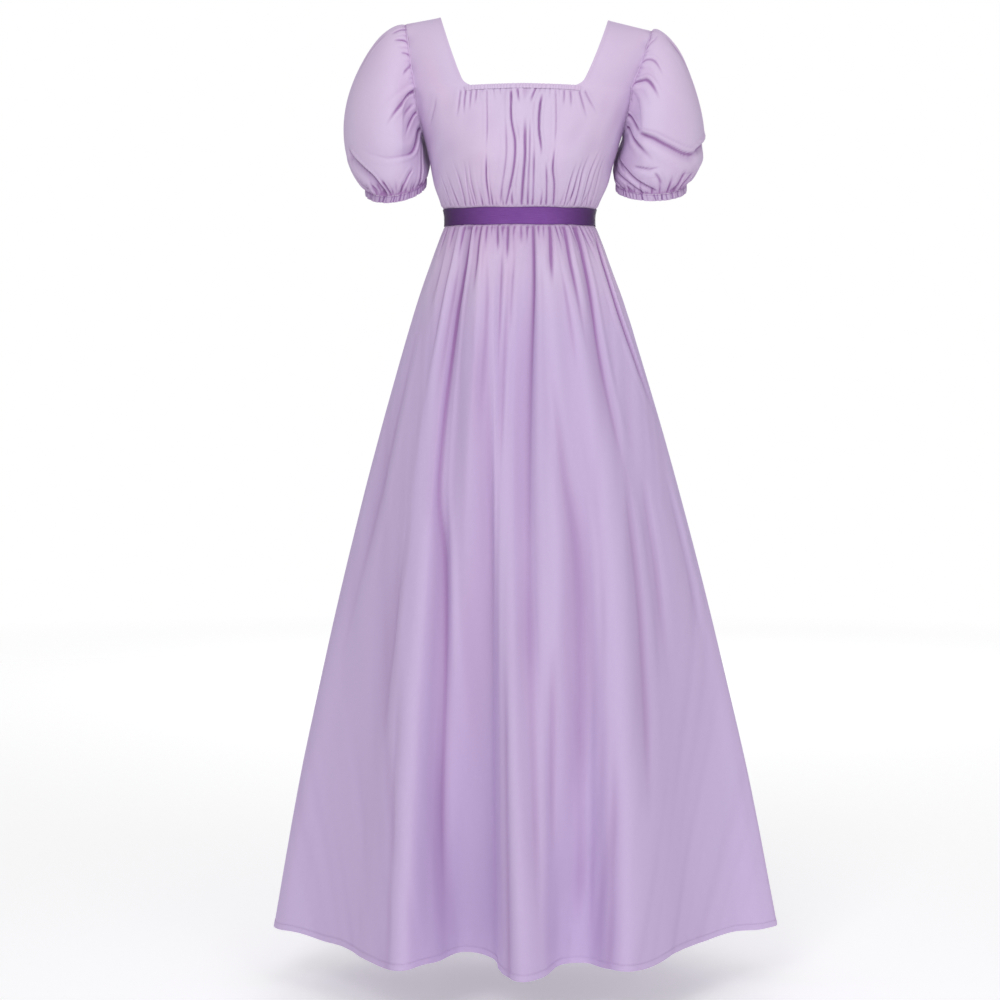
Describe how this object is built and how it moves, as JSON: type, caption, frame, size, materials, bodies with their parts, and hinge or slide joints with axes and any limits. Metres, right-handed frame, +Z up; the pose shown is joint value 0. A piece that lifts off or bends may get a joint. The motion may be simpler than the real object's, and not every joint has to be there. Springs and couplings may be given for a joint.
{
  "type": "regency gown",
  "caption": "High-waisted gown, filled out and hollow: square neck, wide straps, short puffed sleeves with gathered cuffs, satin ribbon under the bust, floor-length flared skirt",
  "frame": {"origin": "on the wearer's shoulder line, midway between the tops of the two straps", "axes": "+X to the right as the front is looked at, -Y out of the front, +Z up"},
  "size_m": [0.764, 0.6548, 1.3634],
  "materials": {
    "gown_cloth": "matte",
    "casing_cloth": "matte",
    "ribbon_satin": "satin"
  },
  "bodies": {
    "root": {"bodice_front": "gown_cloth", "bodice_back": "gown_cloth", "sleeve_left": "gown_cloth", "sleeve_right": "gown_cloth", "skirt_front": "gown_cloth", "skirt_back": "gown_cloth", "neck_casing": "casing_cloth", "cuff_left": "casing_cloth", "cuff_right": "casing_cloth", "waist_ribbon": "ribbon_satin"}
  },
  "joints": []
}
